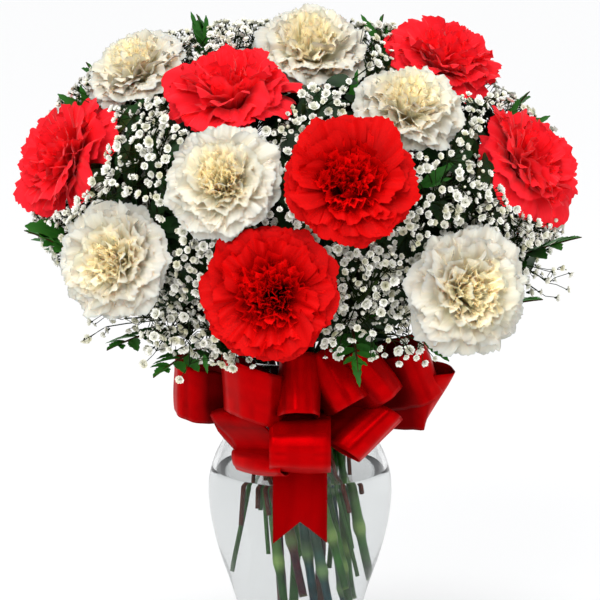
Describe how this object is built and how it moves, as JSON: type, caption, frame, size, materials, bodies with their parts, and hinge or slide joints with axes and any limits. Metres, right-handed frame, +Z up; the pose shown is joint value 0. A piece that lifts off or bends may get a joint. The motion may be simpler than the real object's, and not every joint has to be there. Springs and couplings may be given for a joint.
{
  "type": "carnations in a vase",
  "caption": "Rounded bouquet of red and white carnations with baby's breath and fern, in a clear glass vase of water with a red satin bow at its neck.",
  "frame": {"origin": "centre of the vase's flat base, on the surface that it stands on", "axes": "+Z up the vase's axis, -Y out of the front, where the bow is, and +X to the bow's left, which is the viewer's right"},
  "size_m": [0.3255, 0.3093, 0.4349],
  "materials": {
    "glass": "clear, polished",
    "water": "clear, still",
    "petal_red": "velvety petal",
    "petal_white": "velvety petal",
    "stem": "waxy green skin",
    "baby_breath": "matt floret",
    "fern": "satin leaf",
    "satin": "satin weave"
  },
  "bodies": {
    "root": {"vase": "glass", "water": "water", "bow": "satin", "neck_ribbon": "satin", "bloom_red_low": "petal_red", "stem_red_low": "stem", "bloom_red_middle": "petal_red", "stem_red_middle": "stem", "bloom_red_top_left": "petal_red", "stem_red_top_left": "stem", "bloom_red_top_right": "petal_red", "stem_red_top_right": "stem", "bloom_red_left": "petal_red", "stem_red_left": "stem", "bloom_red_right": "petal_red", "stem_red_right": "stem", "bloom_white_middle": "petal_white", "stem_white_middle": "stem", "bloom_white_left": "petal_white", "stem_white_left": "stem", "bloom_white_right": "petal_white", "stem_white_right": "stem", "bloom_white_top": "petal_white", "stem_white_top": "stem", "bloom_white_top_right": "petal_white", "stem_white_top_right": "stem", "bloom_white_top_left": "petal_white", "stem_white_top_left": "stem", "fern_1": "fern", "fern_2": "fern", "fern_3": "fern", "fern_4": "fern", "fern_5": "fern", "fern_6": "fern", "fern_7": "fern", "fern_8": "fern", "fern_9": "fern", "fern_10": "fern", "fern_11": "fern", "fern_12": "fern", "fern_13": "fern", "fern_14": "fern", "baby_breath_1": "baby_breath", "baby_breath_2": "baby_breath", "baby_breath_3": "baby_breath", "baby_breath_4": "baby_breath", "baby_breath_5": "baby_breath", "baby_breath_6": "baby_breath", "baby_breath_7": "baby_breath", "baby_breath_8": "baby_breath", "baby_breath_9": "baby_breath", "baby_breath_10": "baby_breath", "baby_breath_11": "baby_breath", "baby_breath_12": "baby_breath", "baby_breath_13": "baby_breath", "baby_breath_14": "baby_breath", "baby_breath_15": "baby_breath"}
  },
  "joints": []
}
